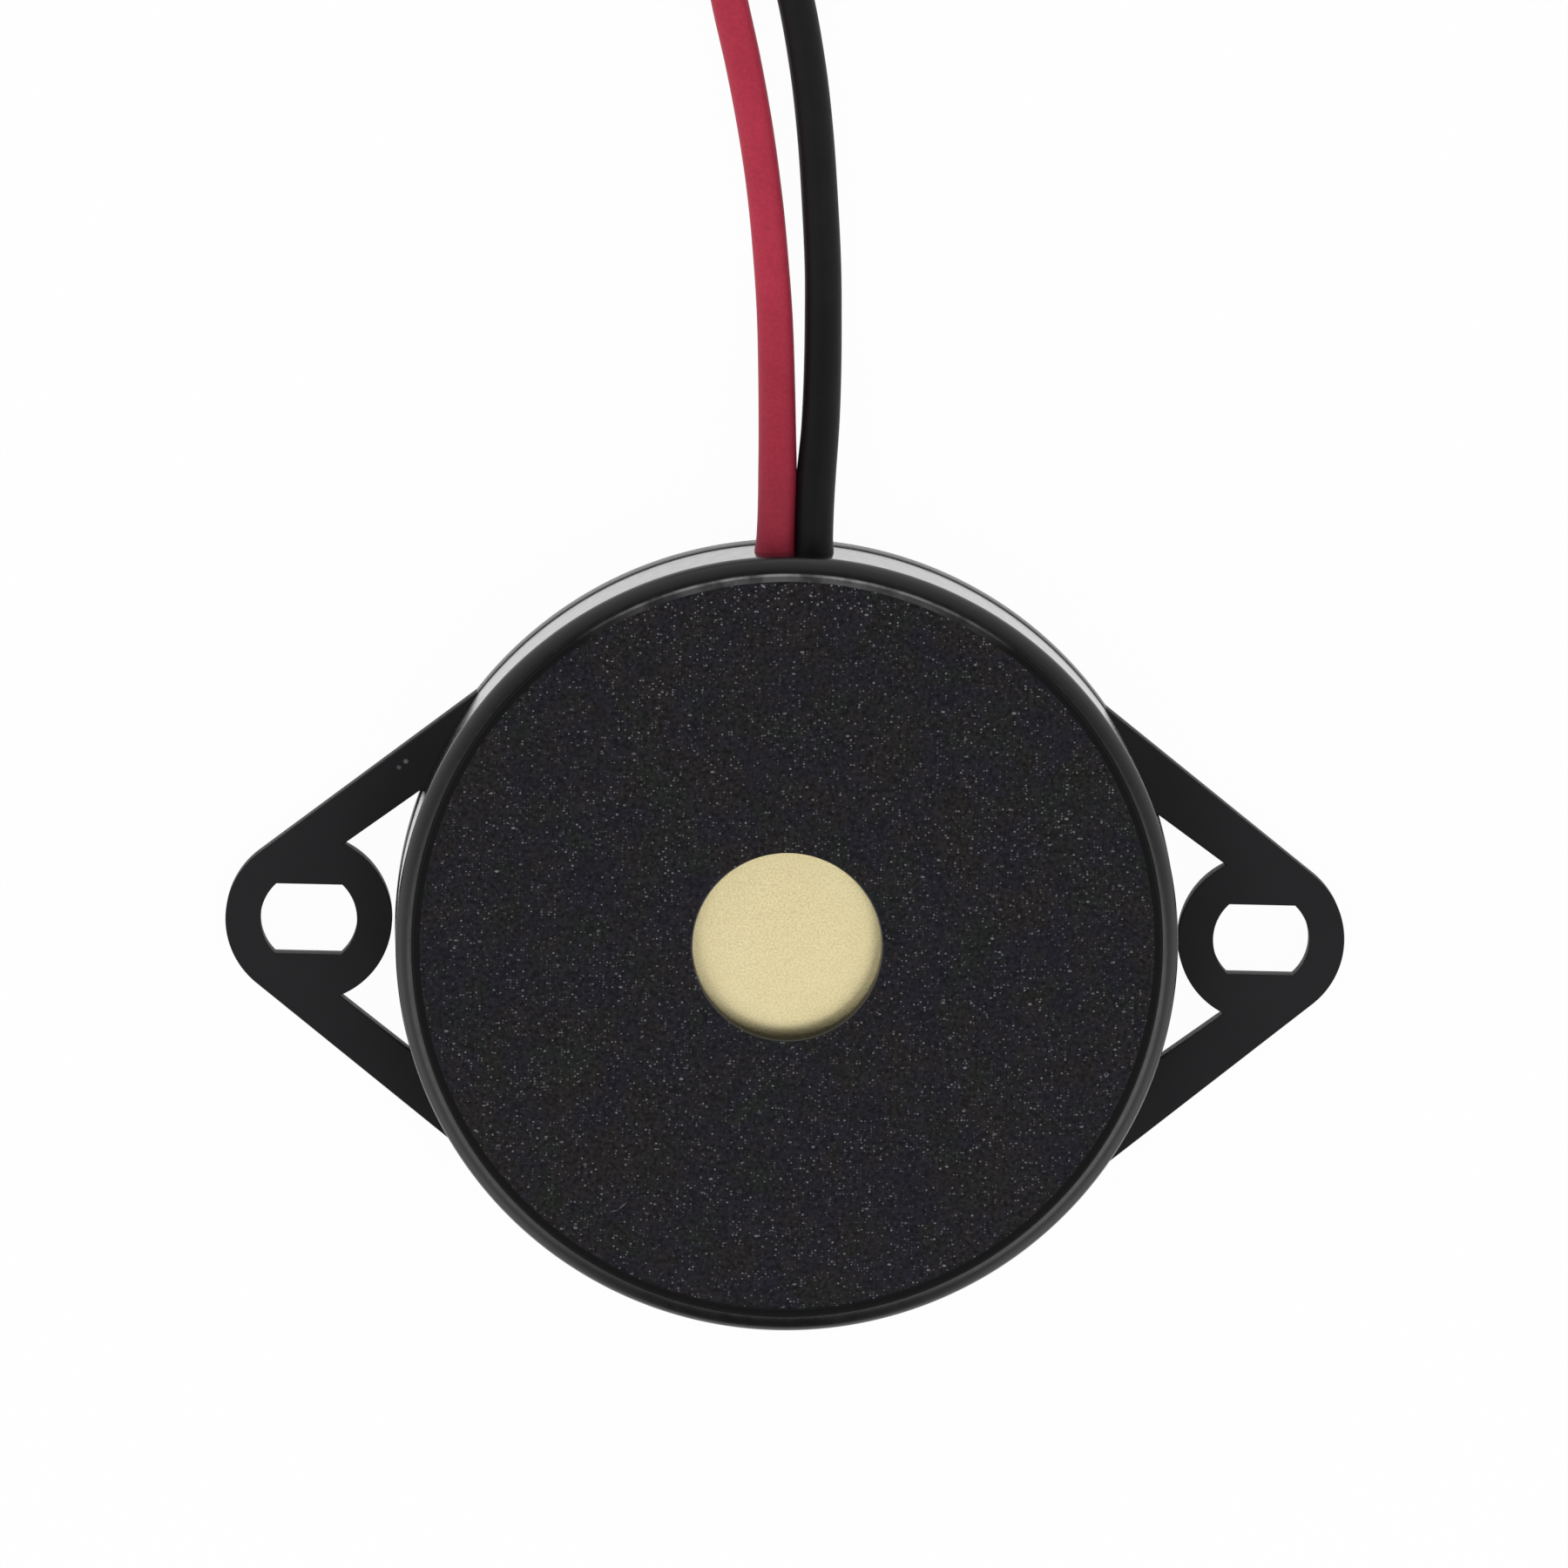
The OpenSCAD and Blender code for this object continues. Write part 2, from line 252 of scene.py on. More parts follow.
# Specks in the face: cells to a metre, share of cells with one, width, how far drawn out, how dim most are.
FINE_SPECKS = (9500.0, 0.42, 0.42, 1.2, 4.0)
COARSE_SPECKS = (6000.0, 0.05, 0.33, 1.8, 2.2)
SPECK_SOFT = 0.12
# Depth of the relief, in metres.
FINE_RELIEF, FACE_RELIEF = 0.00001, 0.00003
COAT_ROUGH = 0.16


def new_material(name):
    """A material, its node tree and its Principled shader."""
    material = bpy.data.materials.new(name)
    material.use_nodes = True
    tree = material.node_tree
    return material, tree, tree.nodes["Principled BSDF"]


def link(tree, source, target):
    """Joins a node's output to another node's input."""
    tree.links.new(source, target)


def feed(tree, value, slot):
    """Sets an input to a number or a colour, or links another node's output to it."""
    if isinstance(value, (int, float)):
        slot.default_value = value
    elif isinstance(value, tuple):
        slot.default_value = (*value, 1.0)
    else:
        link(tree, value, slot)


def add_group(name, inputs, outputs):
    """An empty node group with named float or colour sockets: {name: (kind, default)} and {name: kind}."""
    group = bpy.data.node_groups.new(name, "ShaderNodeTree")
    for title, (kind, value) in inputs.items():
        socket = group.interface.new_socket(name=title, in_out="INPUT", socket_type=kind)
        socket.default_value = value
    for title, kind in outputs.items():
        group.interface.new_socket(name=title, in_out="OUTPUT", socket_type=kind)
    start = group.nodes.new("NodeGroupInput")
    end = group.nodes.new("NodeGroupOutput")
    return group, start, end


def math_node(tree, operation, a, b=None):
    """A Math node of one or two terms, each a number or another node's output."""
    node = tree.nodes.new("ShaderNodeMath")
    node.operation = operation
    feed(tree, a, node.inputs[0])
    if b is not None:
        feed(tree, b, node.inputs[1])
    return node.outputs[0]


def product(tree, *terms):
    """Several outputs multiplied together."""
    result = terms[0]
    for term in terms[1:]:
        result = math_node(tree, "MULTIPLY", result, term)
    return result


def ramp(tree, source, low, high, out_low=0.0, out_high=1.0):
    """Map Range from [low, high] to [out_low, out_high], held at both ends."""
    node = tree.nodes.new("ShaderNodeMapRange")
    link(tree, source, node.inputs["Value"])
    for title, value in (("From Min", low), ("From Max", high), ("To Min", out_low), ("To Max", out_high)):
        node.inputs[title].default_value = value
    return node.outputs["Result"]


def noise(tree, vector, scale, detail, roughness):
    """Noise from 0 to 1; its scale comes from another node."""
    node = tree.nodes.new("ShaderNodeTexNoise")
    link(tree, vector, node.inputs["Vector"])
    link(tree, scale, node.inputs["Scale"])
    node.inputs["Detail"].default_value = detail
    node.inputs["Roughness"].default_value = roughness
    return node.outputs["Fac"]


def mix_colour(tree, fac, a, b):
    """A colour between a and b, each a colour or another node's output."""
    node = tree.nodes.new("ShaderNodeMix")
    node.data_type = "RGBA"
    for slot, value in ((0, fac), (6, a), (7, b)):
        feed(tree, value, node.inputs[slot])
    return node.outputs[2]


def speck_layer(tree, vector, scale, share, width, stretch, dimness):
    """Specks: one in some of the cells, drawn out along X, each with its own brightness from 0 to 1."""
    drawn = tree.nodes.new("ShaderNodeVectorMath")
    drawn.operation = "MULTIPLY"
    drawn.inputs[1].default_value = (1 / stretch, 1.0, 1.0)
    link(tree, vector, drawn.inputs[0])
    cells = tree.nodes.new("ShaderNodeTexVoronoi")
    cells.voronoi_dimensions = "2D"
    link(tree, drawn.outputs[0], cells.inputs["Vector"])
    cells.inputs["Scale"].default_value = scale
    parts = tree.nodes.new("ShaderNodeSeparateColor")
    link(tree, cells.outputs["Color"], parts.inputs["Color"])
    size = ramp(tree, parts.outputs["Blue"], 0.0, 1.0, 0.5 * width, width)
    near = math_node(tree, "SUBTRACT", size, cells.outputs["Distance"])
    dot = ramp(tree, near, 0.0, SPECK_SOFT)
    chosen = math_node(tree, "GREATER_THAN", parts.outputs["Red"], 1.0 - share)
    bright = math_node(tree, "POWER", parts.outputs["Green"], dimness)
    return product(tree, dot, chosen, bright)


def make_speckle_group():
    """Spark-eroded grain: fine relief, and specks of two sizes for painted glints, where small flat facets
    would catch the light.
    """
    group, start, end = add_group(
        "spark_grain",
        {"Vector": ("NodeSocketVector", (0, 0, 0)), "Grain Scale": ("NodeSocketFloat", 9000.0),
         "Tint Scale": ("NodeSocketFloat", 600.0)},
        {"Grain": "NodeSocketFloat", "Glint": "NodeSocketFloat", "Cool": "NodeSocketFloat",
         "Green": "NodeSocketFloat"},
    )
    vector = start.outputs["Vector"]
    grain = noise(group, vector, start.outputs["Grain Scale"], *GRAINY)
    link(group, grain, end.inputs["Grain"])
    fine = speck_layer(group, vector, *FINE_SPECKS)
    coarse = speck_layer(group, vector, *COARSE_SPECKS)
    link(group, math_node(group, "MAXIMUM", fine, coarse), end.inputs["Glint"])
    tint = noise(group, vector, start.outputs["Tint Scale"], *PATCHY)
    link(group, ramp(group, tint, 0.35, 0.65), end.inputs["Cool"])
    shifted = group.nodes.new("ShaderNodeVectorMath")
    shifted.operation = "ADD"
    shifted.inputs[1].default_value = (0.7, 0.3, 0.0)
    link(group, vector, shifted.inputs[0])
    second = noise(group, shifted.outputs[0], start.outputs["Tint Scale"], *PATCHY)
    link(group, ramp(group, second, 0.52, 0.7), end.inputs["Green"])
    return group


def make_wear_group():
    """Slow change over a surface: patches of handling and a fine even grain."""
    group, start, end = add_group(
        "handling",
        {"Vector": ("NodeSocketVector", (0, 0, 0)), "Patch Scale": ("NodeSocketFloat", 180.0),
         "Grain Scale": ("NodeSocketFloat", 9000.0)},
        {"Patches": "NodeSocketFloat", "Grain": "NodeSocketFloat"},
    )
    patches = noise(group, start.outputs["Vector"], start.outputs["Patch Scale"], *PATCHY)
    grain = noise(group, start.outputs["Vector"], start.outputs["Grain Scale"], *GRAINY)
    link(group, patches, end.inputs["Patches"])
    link(group, grain, end.inputs["Grain"])
    return group


SPARK_GRAIN = make_speckle_group()
HANDLING = make_wear_group()


def object_place(tree):
    """A point's place on its own object, in metres."""
    return tree.nodes.new("ShaderNodeTexCoord").outputs["Object"]


def use_group(tree, group, **values):
    """Places a group that reads Object coordinates, with its values set."""
    node = tree.nodes.new("ShaderNodeGroup")
    node.node_tree = group
    link(tree, object_place(tree), node.inputs["Vector"])
    for title, value in values.items():
        node.inputs[title.replace("_", " ")].default_value = value
    return node


def level_of(tree, axis):
    """One Object coordinate, in metres."""
    parts = tree.nodes.new("ShaderNodeSeparateXYZ")
    link(tree, object_place(tree), parts.inputs["Vector"])
    return parts.outputs[axis]


def shaded(tree, colour, factor):
    """A colour made lighter or darker by a factor that changes over the surface."""
    node = tree.nodes.new("ShaderNodeVectorMath")
    node.operation = "SCALE"
    link(tree, colour, node.inputs[0])
    link(tree, factor, node.inputs["Scale"])
    return node.outputs[0]


def small_mark(tree, x, y, long, wide, turn, strength):
    """A soft oval mark at a place in plan, in millimetres: 1 x strength in its middle, 0 outside it."""
    node = tree.nodes.new("ShaderNodeMapping")
    node.vector_type = "TEXTURE"
    node.inputs["Location"].default_value = (x * MM, y * MM, 0)
    node.inputs["Rotation"].default_value = (0, 0, math.radians(turn))
    node.inputs["Scale"].default_value = (long / 2 * MM, wide / 2 * MM, 1.0)
    link(tree, object_place(tree), node.inputs["Vector"])
    reach = tree.nodes.new("ShaderNodeVectorMath")
    reach.operation = "LENGTH"
    link(tree, node.outputs["Vector"], reach.inputs[0])
    return ramp(tree, reach.outputs["Value"], 0.4, 1.0, strength, 0.0)


def with_marks(tree, amount, marks):
    """The strongest of an amount and a list of small marks."""
    for mark in marks:
        amount = math_node(tree, "MAXIMUM", amount, small_mark(tree, *mark))
    return amount


def bump(tree, shader, height, strength, distance):
    """Relief by the shader's normal; distance is its full depth, in metres."""
    node = tree.nodes.new("ShaderNodeBump")
    node.inputs["Strength"].default_value = strength
    node.inputs["Distance"].default_value = distance
    link(tree, height, node.inputs["Height"])
    link(tree, node.outputs["Normal"], shader.inputs["Normal"])


def handled_material(name, dark, light, rough, rough_spread, metallic=0.0, coat=0.0, specular=0.5,
                     patch_scale=180.0, grain_scale=9000.0, grain_bump=0.1, grain_shade=0.0, marks=()):
    """A finish whose colour and roughness drift in patches, with a fine grain in its relief and shade."""
    material, tree, shader = new_material(name)
    handling = use_group(tree, HANDLING, Patch_Scale=patch_scale, Grain_Scale=grain_scale)
    colour = mix_colour(tree, ramp(tree, handling.outputs["Patches"], *MOST), dark, light)
    grain = handling.outputs["Grain"]
    if grain_shade:
        colour = shaded(tree, colour, ramp(tree, grain, *MOST, 1 - grain_shade, 1 + grain_shade))
    if marks:
        colour = mix_colour(tree, with_marks(tree, 0.0, marks), colour, MARK_AND_GLINT_COLOUR)
    link(tree, colour, shader.inputs["Base Color"])
    roughness = ramp(tree, grain, *MOST, rough - rough_spread, rough + rough_spread)
    link(tree, roughness, shader.inputs["Roughness"])
    shader.inputs["Metallic"].default_value = metallic
    shader.inputs["Coat Weight"].default_value = coat
    shader.inputs["Coat Roughness"].default_value = COAT_ROUGH
    shader.inputs["Specular IOR Level"].default_value = specular
    bump(tree, shader, grain, grain_bump, FINE_RELIEF)
    return material


def face_material():
    """The textured front of the case: near black with a slight drift in tint, and bright specks in its colour
    that are partly lighter grains and partly painted glints, brighter towards the leads' side.
    """
    warm, cool, green = (0.0135, 0.0110, 0.0110), (0.0095, 0.0090, 0.0155), (0.0100, 0.0122, 0.0102)
    material, tree, shader = new_material("case_face")
    grain = use_group(tree, SPARK_GRAIN, Grain_Scale=6500.0, Tint_Scale=650.0)
    tint = mix_colour(tree, grain.outputs["Cool"], warm, cool)
    tint = mix_colour(tree, grain.outputs["Green"], tint, green)
    colour = shaded(tree, tint, ramp(tree, grain.outputs["Grain"], 0.32, 0.68, 0.25, 1.78))
    # Painted highlight: the glints are painted brighter towards the leads' side, where light falls on the
    # face's edge.
    painted_lit_side = ramp(tree, level_of(tree, "Y"), 12.2 * MM, 13.8 * MM, 1.0, 2.4)
    glint = with_marks(tree, product(tree, grain.outputs["Glint"], painted_lit_side), FACE_MARKS)
    link(tree, mix_colour(tree, glint, colour, MARK_AND_GLINT_COLOUR), shader.inputs["Base Color"])
    link(tree, ramp(tree, glint, 0.0, 1.0, 0.6, 0.35), shader.inputs["Roughness"])
    shader.inputs["Specular IOR Level"].default_value = 0.14
    bump(tree, shader, grain.outputs["Grain"], 0.5, FACE_RELIEF)
    return material


def rim_highlight_material(name, base, highlight_colour, specular):
    """Black of the rim, with a painted highlight: lighter in short streaks on the leads' side, where light
    falls on it.
    """
    material, tree, shader = new_material(name)
    handling = use_group(tree, HANDLING, Patch_Scale=900.0, Grain_Scale=5000.0)
    # Painted highlight: lighter streaks only on the leads' side, where light catches the rim and its ridges.
    painted_lit_side = ramp(tree, level_of(tree, "Y"), 11.5 * MM, 14.0 * MM)
    streaks = ramp(tree, handling.outputs["Patches"], 0.38, 0.62, 0.3, 1.0)
    painted_highlight = product(tree, painted_lit_side, streaks)
    link(tree, mix_colour(tree, painted_highlight, base, highlight_colour), shader.inputs["Base Color"])
    link(tree, ramp(tree, handling.outputs["Grain"], *MOST, 0.38, 0.5), shader.inputs["Roughness"])
    shader.inputs["Specular IOR Level"].default_value = specular
    bump(tree, shader, handling.outputs["Grain"], 0.1, FINE_RELIEF)
    return material


def insulation_material(name, dark, light, specular):
    """Soft plastic of a lead: even in colour, with painted shade that makes it darker towards the case, and a
    fine grain.
    """
    material, tree, shader = new_material(name)
    handling = use_group(tree, HANDLING, Patch_Scale=500.0, Grain_Scale=7000.0)
    grain = handling.outputs["Grain"]
    colour = mix_colour(tree, ramp(tree, handling.outputs["Patches"], *MOST), dark, light)
    # Painted shade: the colour darkens towards the case.
    painted_shade_by_case = ramp(tree, level_of(tree, "Y"), 15 * MM, 26 * MM, 0.66, 1.03)
    fine = ramp(tree, grain, *MOST, 0.9, 1.1)
    link(tree, shaded(tree, colour, product(tree, fine, painted_shade_by_case)), shader.inputs["Base Color"])
    link(tree, ramp(tree, grain, *MOST, 0.45, 0.55), shader.inputs["Roughness"])
    shader.inputs["Specular IOR Level"].default_value = specular
    bump(tree, shader, grain, 0.15, FINE_RELIEF)
    return material


# Colour of the small marks, and of the face's specks, which are partly painted glints.
MARK_AND_GLINT_COLOUR = (0.195, 0.195, 0.213)
# Small marks: place in plan, length, width, turn in degrees and strength.
FACE_MARKS = [(-1.25, 13.81, 0.24, 0.10, -35, 1.6), (-6.35, -10.32, 0.46, 0.05, 14, 0.45),
              (-6.03, -10.12, 0.50, 0.06, 42, 0.60)]
EAR_MARKS = [(-14.70, 6.19, 0.24, 0.22, 0, 0.9), (-14.96, 5.95, 0.22, 0.20, 0, 0.6),
             (-11.91, 8.78, 0.16, 0.12, 0, 1.2)]

CASE_FACE = face_material()
CASE_GLOSS = handled_material("case_gloss", (0.006, 0.006, 0.0065), (0.008, 0.008, 0.0085), 0.18, 0.04,
                              coat=0.5, grain_scale=2500.0, grain_bump=0.03)
CASE_EDGE = handled_material("case_edge", (0.005, 0.005, 0.0055), (0.007, 0.007, 0.0075), 0.25, 0.04,
                             specular=0.5, grain_scale=2500.0, grain_bump=0.04)
# The rim and its first ridge: black, with a painted highlight in lighter streaks on the leads' side.
CASE_RIM = rim_highlight_material("case_rim", (0.0042, 0.0042, 0.0046), (0.10, 0.10, 0.10), 0.1)
CASE_LIP = rim_highlight_material("case_lip", (0.006, 0.006, 0.0065), (0.26, 0.26, 0.26), 0.12)
EAR_BLACK = handled_material("ear_black", (0.0222, 0.0210, 0.0228), (0.0264, 0.0250, 0.0270), 0.65, 0.06,
                             specular=0.05, marks=EAR_MARKS)
CASE_RING = handled_material("case_ring", (0.014, 0.014, 0.0145), (0.018, 0.018, 0.0185), 0.36, 0.06,
                             specular=0.65, grain_bump=0.1)
EAR_SIDE = handled_material("ear_side", (0.018, 0.0175, 0.0185), (0.022, 0.0215, 0.0225), 0.55, 0.06,
                            specular=0.12, grain_bump=0.1)
BRASS = handled_material("disc_brass", (0.93, 0.805, 0.455), (0.98, 0.86, 0.505), 0.34, 0.06, metallic=1.0,
                         patch_scale=400.0, grain_scale=13000.0, grain_bump=0.12, grain_shade=0.11)
SILVERED = handled_material("ceramic_silvered", (0.74, 0.73, 0.70), (0.84, 0.83, 0.80), 0.5, 0.1,
                            metallic=0.6)
ADHESIVE = handled_material("adhesive_white", (0.78, 0.77, 0.71), (0.86, 0.85, 0.80), 0.4, 0.08)
SOLDER = handled_material("solder_tin", (0.66, 0.66, 0.67), (0.80, 0.80, 0.81), 0.25, 0.08, metallic=1.0)
RED = insulation_material("insulation_red", (0.45, 0.034, 0.066), (0.50, 0.040, 0.076), 0.13)
BLACK = insulation_material("insulation_black", (0.006, 0.0055, 0.0066), (0.009, 0.0085, 0.0098), 0.15)


# ---------------------------------------------------------------- leads

# The middle of each lead from inside the case to the start of its coil.
RED_ROUTE = [
    [RED_X, 10.7, LEAD_Z], [RED_X, 12.8, LEAD_Z], [RED_X, 15, LEAD_Z], [-0.8, 17.6, 3.1],
    [-0.82, 19.6, 2.6], [-0.88, 21.6, 1.6], [-0.98, 23.6, 0.85], [-1.16, 25.6, 0.7],
    [-1.44, 28, 0.7], [-1.86, 30.6, 0.7], [-2.4, 33.2, 0.7], [-3.08, 36, 0.7],
    [-3.6, 38.8, 0.7], [-3.95, 41.6, 0.7], [-4.08, 44.2, 0.7], [-4.1, 46.5, 0.7],
]
BLACK_ROUTE = [
    [BLACK_X, 12.5, LEAD_Z], [BLACK_X, 13.6, LEAD_Z], [BLACK_X, 15, LEAD_Z], [0.73, 17.6, 3.1],
    [0.83, 19.6, 2.6], [0.88, 21.6, 1.6], [0.87, 23.6, 0.85], [0.81, 25.6, 0.7],
    [0.64, 28, 0.7], [0.4, 30.6, 0.7], [0.04, 33.2, 0.7], [-0.54, 36, 0.7],
    [-1.4, 38.8, 0.7], [-2.1, 41.6, 0.7], [-2.54, 44.2, 0.7], [-2.65, 46.5, 0.7],
]
COIL_CENTRE = np.array([-11.1, 46.5])
RED_COIL_R, RED_END = 7.0, math.radians(360 + 150)
BLACK_COIL_R, BLACK_END = 8.45, math.radians(360 + 65)
CLIMB_FROM, CLIMB_TO = math.radians(268), math.radians(320)
PATH_STEP = 0.25
# Where the leads come out: a little inside the wall's face.
EXIT_Y = WALL_R - 0.06

# Width over the insulation at distances from the wall; past the last one, and on the coil, it stays.
WIDTH_AT = [0.0, 0.5, 1.3, 2.9, 4.4, 10.5, 14.0, 20.0]
RED_WIDTH = [1.62, 1.48, 1.45, 1.48, 1.435, 1.345, 1.33, 1.40]
BLACK_WIDTH = [1.60, 1.49, 1.48, 1.51, 1.46, 1.405, 1.395, 1.40]
COIL_SIDE_X = -3
# How far the leads lean together, how far from the wall most, and over what length.
LEAN_IN, LEAN_AT, LEAN_OVER = 0.035, 2.6, 1.6
LEAD_SIDES = 28

# The tinned end: its length, the length over which it drops, one turn of its lay, and how deep its lobes are.
TINNED_L, TINNED_DROP, TINNED_LAY, LOBE_DEPTH = 5.0, 2.5, 6.0, 0.14
TINNED_STEPS, TINNED_SIDES, LOBES = 60, 48, 6


def smooth_step(t):
    """0 to 1 with a level start and end: 3 t^2 - 2 t^3."""
    t = np.clip(t, 0.0, 1.0)
    return t * t * (3 - 2 * t)


def on_coil(radius, angle, z):
    """Points round the middle of the coils."""
    return np.stack([COIL_CENTRE[0] + radius * np.cos(angle), COIL_CENTRE[1] + radius * np.sin(angle), z], -1)


def coil_path(radius, end):
    """Turns of a coil: a circle whose height climbs one diameter, by a smooth step, before it closes."""
    angle = np.linspace(0, end, int(end * radius / PATH_STEP))
    rise = smooth_step((angle - CLIMB_FROM) / (CLIMB_TO - CLIMB_FROM))
    return on_coil(radius, angle, LEAD_R + LEAD_D * rise)


def lead_radius(path, widths):
    """The insulation is a little thicker by the case, and swells where it meets the wall."""
    outside = np.where(path[:, 0] > COIL_SIDE_X, path[:, 1] - EXIT_Y, 2 * WIDTH_AT[-1])
    return np.interp(outside, WIDTH_AT, widths) / 2


def round_path(path, angle):
    """Unit vectors square to a path: cos(a) sideways + sin(a) upwards, for each angle in a point's row."""
    side, up = swept_frames(path)
    return np.cos(angle)[..., None] * side[:, None, :] + np.sin(angle)[..., None] * up[:, None, :]


def make_tube(name, path, radius, material):
    """A round tube along a path: circles square to it, closed by a fan at each end."""
    angle = np.linspace(0, 2 * math.pi, LEAD_SIDES, endpoint=False)[None, :]
    rings = radius[:, None, None] * round_path(path, angle)
    return put_mesh(name, *capped_tube(path, rings), [material], smooth_angle=50)


def capped_tube(path, rings):
    """Points and faces of a tube: its rings stand off the path, and a fan closes each end."""
    count, sides = rings.shape[:2]
    points = np.vstack([(path[:, None, :] + rings).reshape(-1, 3), path[:1], path[-1:]])
    k = np.arange(sides)
    after = (k + 1) % sides
    first, last, base = count * sides, count * sides + 1, (count - 1) * sides
    faces = [tuple(f) for f in grid_faces(count, sides)[:, ::-1]]
    faces += list(zip(np.full(sides, first), k, after))
    faces += list(zip(np.full(sides, last), base + after, base + k))
    return points, faces


def make_lead(name, route, lean, coil_r, coil_end, widths, material, nodes):
    """A lead from inside the case to the table and round its coil; by the case it leans on the other."""
    path = np.vstack([curve_through(route, PATH_STEP), coil_path(coil_r, coil_end)[1:]])
    path[:, 0] += lean * np.exp(-((path[:, 1] - EXIT_Y - LEAN_AT) / LEAN_OVER) ** 2)
    piece = make_tube(name, path, lead_radius(path, widths), material)
    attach(piece, "root")
    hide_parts(*nodes)


def make_tinned_end(name, coil_r, start, node):
    """Tinned strands laid together: a section of lobes that turns as it goes along the arc."""
    angle = np.linspace(start, start + TINNED_L / coil_r, TINNED_STEPS)
    drop = smooth_step((angle - start) * coil_r / TINNED_DROP)
    path = on_coil(coil_r, angle, LEAD_D + LEAD_R - (LEAD_R - STRAND_R) * drop)
    turn = np.linspace(0, 2 * math.pi, TINNED_SIDES, endpoint=False)
    lobes = STRAND_R * (1 - LOBE_DEPTH + LOBE_DEPTH * np.abs(np.cos(LOBES / 2 * turn)))
    laid = turn[None, :] + lengths_along(path)[:, None] / TINNED_LAY * 2 * math.pi
    rings = lobes[None, :, None] * round_path(path, laid)
    piece = put_mesh(name, *capped_tube(path, rings), [SOLDER], smooth_angle=70)
    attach(piece, "root")
    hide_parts(node)
    return piece


red_tinned = make_tinned_end("red_tinned_strands", RED_COIL_R, RED_END, "red_tinned_end")
black_tinned = make_tinned_end("black_tinned_strands", BLACK_COIL_R, BLACK_END, "black_tinned_end")
make_lead("red_lead_wire", RED_ROUTE, LEAN_IN, RED_COIL_R, RED_END, RED_WIDTH, RED,
          ("red_lead", "red_coil"))
make_lead("black_lead_wire", BLACK_ROUTE, -LEAN_IN, BLACK_COIL_R, BLACK_END, BLACK_WIDTH, BLACK,
          ("black_lead", "black_coil"))


# ---------------------------------------------------------------- case

# Finishes of the case's faces, and the place of each in the list.
CASE_FINISHES = [CASE_GLOSS, CASE_EDGE, CASE_RIM, CASE_FACE, EAR_BLACK, CASE_LIP, CASE_RING, EAR_SIDE]
GLOSS, EDGE, RIM, FACE, EAR, LIP, RING, SIDE = range(len(CASE_FINISHES))
# Fine ridges round the rim: radius, finish, half width and height.
RIDGES = [(RIM_R, LIP, 0.045, 0.018), (RIM_R - 0.13, RIM, 0.03, 0.010)]
# Finishes round the edge of the sound hole, from the face down.
HOLE_ZONES = [FACE, GLOSS, GLOSS, GLOSS, GLOSS, EDGE, RIM]
# Arcs smaller than this have no more points for their angle than one of this radius.
SMALL_ARC = 2.5
# Points of the case nearer than this become one: before the slot is cut, and after it.
SAME_POINT, SLIVER = 1e-5, 0.004


def direction(angle):
    """The unit vector in plan at an angle."""
    return np.array([math.cos(angle), math.sin(angle)])


def angle_of(point, centre=(0.0, 0.0)):
    """The angle at which a point in plan lies about a centre."""
    return math.atan2(point[1] - centre[1], point[0] - centre[0])


def arc(centre, radius, start, end):
    """Points of an arc, both ends included, about as close as the points of the round case."""
    n = max(2, int(abs(end - start) * max(radius, SMALL_ARC) / (ARC_STEP * CASE_R)) + 1)
    a = np.linspace(start, end, n)
    return np.stack([centre[0] + radius * np.cos(a), centre[1] + radius * np.sin(a)], -1)


def reach_circle(start, along, radius):
    """Where a line from start first reaches the circle of that radius about the origin."""
    b = start @ along
    return start + along * (-b - math.sqrt(b * b - start @ start + radius * radius))


def arm_corners(width, inner_turn, outer_turn):
    """Corners of an arm, laid as the left ear's upper one: outer start and end, inner start and end."""
    across = direction(ARM_ANGLE + math.pi / 2)
    outer_start = LEFT_EYE + EYE_R * across
    outer_end = reach_circle(outer_start, direction(ARM_ANGLE + math.radians(outer_turn)), CASE_R)
    inner_along = direction(ARM_ANGLE + math.radians(inner_turn))
    inner_line = (EYE_R - width) * across
    b = inner_line @ inner_along
    far = -b + math.sqrt(b * b - inner_line @ inner_line + EYE_R ** 2)
    notch = LEFT_EYE + inner_line + inner_along * far
    return outer_start, outer_end, notch, reach_circle(notch, inner_along, CASE_R)


def join_loops(parts):
    """One closed loop from parts that follow on from each other; a point that repeats is dropped."""
    points = np.vstack(parts)
    keep = np.linalg.norm(points - np.roll(points, 1, 0), axis=1) > SAME_POINT / 10
    return points[keep]


def ear_gap(upper, lower):
    """The opening between the left eye and the ring, for the corners of the arms above and below it."""
    return join_loops([
        arc(LEFT_EYE, EYE_R, -angle_of(lower[2], LEFT_EYE), angle_of(upper[2], LEFT_EYE)),
        arc((0, 0), CASE_R, angle_of(upper[3]), 2 * math.pi - angle_of(lower[3])),
    ])


def clockwise(loop):
    """The loop, turned round if its area by the shoelace formula is positive."""
    x, y = loop.T
    area = 0.5 * np.sum(x * np.roll(y, -1) - np.roll(x, -1) * y)
    return loop[::-1] if area > 0 else loop


